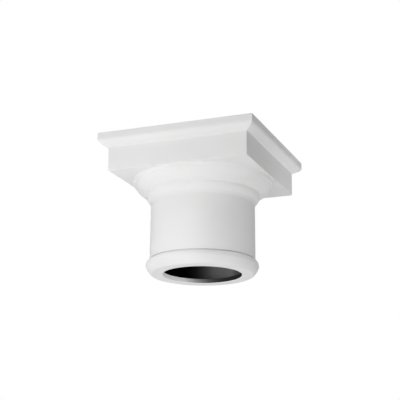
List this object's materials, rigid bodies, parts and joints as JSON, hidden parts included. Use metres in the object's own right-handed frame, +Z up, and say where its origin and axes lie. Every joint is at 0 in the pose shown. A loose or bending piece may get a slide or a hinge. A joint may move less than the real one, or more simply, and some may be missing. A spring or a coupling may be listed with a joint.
{
  "type": "doric capital",
  "caption": "Hollow moulded capital for a round column: square abacus on a turned echinus and plain neck, with a rounded ring round its open foot.",
  "frame": {"origin": "centre of the flat seat under the foot ring, on the turning axis", "axes": "+Z up the turning axis from the seat to the top of the abacus; +X and +Y square to two sides of the abacus"},
  "size_m": [0.2966, 0.2966, 0.2437],
  "materials": {
    "moulding": "matt primed white"
  },
  "bodies": {
    "root": {"capital": "moulding"}
  },
  "joints": []
}
